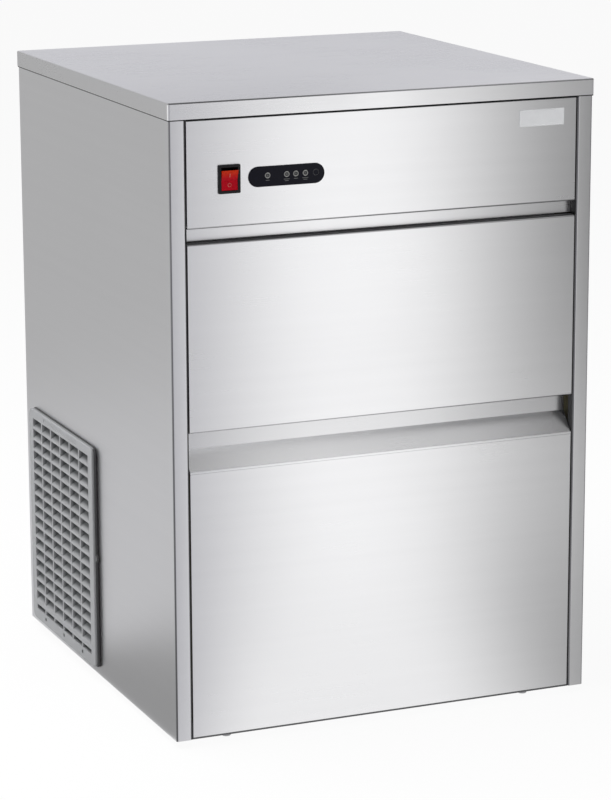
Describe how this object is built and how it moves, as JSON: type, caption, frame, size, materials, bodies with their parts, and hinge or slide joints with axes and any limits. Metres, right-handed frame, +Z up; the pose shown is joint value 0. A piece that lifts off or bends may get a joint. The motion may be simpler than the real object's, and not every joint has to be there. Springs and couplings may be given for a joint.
{
  "type": "ice cube maker",
  "caption": "Free-standing ice cube maker in folded stainless sheet, with a top-hinged bin door, a side air grille and a tilting water tray under dipping evaporator fingers.",
  "frame": {"origin": "on the floor, at the middle of the object's whole footprint", "axes": "+Z up; +Y to the back, so the bin door faces -Y; +X to the right as seen from the front"},
  "size_m": [0.508, 0.5356, 0.71],
  "materials": {
    "steel": "brushed stainless steel",
    "zinc_steel": "zinc-coated sheet",
    "bright_plate": "bright plated, blank",
    "grille_plastic": "grey moulded plastic",
    "box_plastic": "grey moulded plastic",
    "hose": "soft grey hose",
    "liner_plastic": "white moulded plastic",
    "foam": "rigid foam",
    "switch_black": "black moulded plastic",
    "window_black": "gloss black window",
    "rocker_red": "clear red rocker",
    "board": "solder mask green",
    "rubber": "black rubber",
    "foot": "turned steel foot",
    "pin_steel": "turned steel",
    "nickel": "nickel plated",
    "copper": "copper tube",
    "aluminium": "fin stock",
    "black_paint": "black enamel",
    "black_plastic": "black moulded plastic",
    "filter_mesh": "dark filter mesh"
  },
  "bodies": {
    "cabinet": {"top_panel": "steel", "left_side_panel": "steel", "right_side_panel": "steel", "control_fascia": "steel", "header_shelf": "steel", "finger_recess": "steel", "lower_front_panel": "steel", "base_pan": "zinc_steel", "back_panel": "zinc_steel", "fan_shroud": "zinc_steel", "motor_bracket": "zinc_steel", "module_plate_left": "zinc_steel", "module_plate_right": "zinc_steel", "machine_deck": "zinc_steel", "badge_plate": "bright_plate", "side_grille": "grille_plastic", "electronics_box": "box_plastic", "drain_hose": "hose", "bin_liner": "liner_plastic", "drain_trough": "liner_plastic", "ice_chute": "liner_plastic", "drain_spigot": "liner_plastic", "water_inlet_valve": "liner_plastic", "fill_pipe": "liner_plastic", "bin_insulation": "foam", "switch_bezel": "switch_black", "indicator_window": "window_black", "control_board": "board", "bin_door_seal": "rubber", "compressor_mount_front_left": "rubber", "compressor_mount_front_right": "rubber", "compressor_mount_rear_left": "rubber", "compressor_mount_rear_right": "rubber", "hinge_pin_left": "pin_steel", "hinge_pin_right": "pin_steel", "evaporator": "nickel", "ice_level_sensor": "nickel", "condenser_tube": "copper", "filter_drier": "copper", "discharge_pipe": "copper", "suction_pipe": "copper", "capillary_tube": "copper", "condenser_core": "aluminium", "compressor": "black_paint", "fan_motor": "black_paint", "terminal_cover": "black_plastic", "tilt_motor": "black_plastic", "cord_gland": "black_plastic", "air_filter": "filter_mesh"},
    "bin_door": {"bin_door_skin": "steel", "bin_door_inner": "liner_plastic"},
    "power_rocker": {"power_rocker": "rocker_red"},
    "fan": {"fan_blade": "black_plastic"},
    "water_tray": {"water_tray": "liner_plastic", "paddle_motor": "black_plastic"},
    "paddle": {"agitator_paddle": "liner_plastic"},
    "foot_front_left": {"levelling_foot_front_left": "foot"},
    "foot_front_right": {"levelling_foot_front_right": "foot"},
    "foot_rear_left": {"levelling_foot_rear_left": "foot"},
    "foot_rear_right": {"levelling_foot_rear_right": "foot"}
  },
  "joints": [
    {"name": "bin_door_hinge", "type": "hinge", "parent": "cabinet", "child": "bin_door", "pos_m": [0.0025, -0.25593, 0.5487], "axis": [-1, 0, 0], "range_deg": [0, 85]},
    {"name": "power_rocker_tip", "type": "hinge", "parent": "cabinet", "child": "power_rocker", "pos_m": [-0.1798, -0.25793, 0.626], "axis": [-1, 0, 0], "range_deg": [0, 16]},
    {"name": "fan_spin", "type": "hinge", "parent": "cabinet", "child": "fan", "pos_m": [-0.1634, 0.11007, 0.155], "axis": [1, 0, 0], "continuous": true},
    {"name": "water_tray_tilt", "type": "hinge", "parent": "cabinet", "child": "water_tray", "pos_m": [0.0025, 0.18207, 0.61], "axis": [1, 0, 0], "range_deg": [0, 45]},
    {"name": "paddle_swing", "type": "hinge", "parent": "water_tray", "child": "paddle", "pos_m": [0.0025, 0.09807, 0.568], "axis": [1, 0, 0], "range_deg": [-25, 25]},
    {"name": "foot_front_left_screw", "type": "slide", "parent": "cabinet", "child": "foot_front_left", "axis": [0, 0, -1], "range_m": [0, 0.012]},
    {"name": "foot_front_right_screw", "type": "slide", "parent": "cabinet", "child": "foot_front_right", "axis": [0, 0, -1], "range_m": [0, 0.012]},
    {"name": "foot_rear_left_screw", "type": "slide", "parent": "cabinet", "child": "foot_rear_left", "axis": [0, 0, -1], "range_m": [0, 0.012]},
    {"name": "foot_rear_right_screw", "type": "slide", "parent": "cabinet", "child": "foot_rear_right", "axis": [0, 0, -1], "range_m": [0, 0.012]}
  ]
}
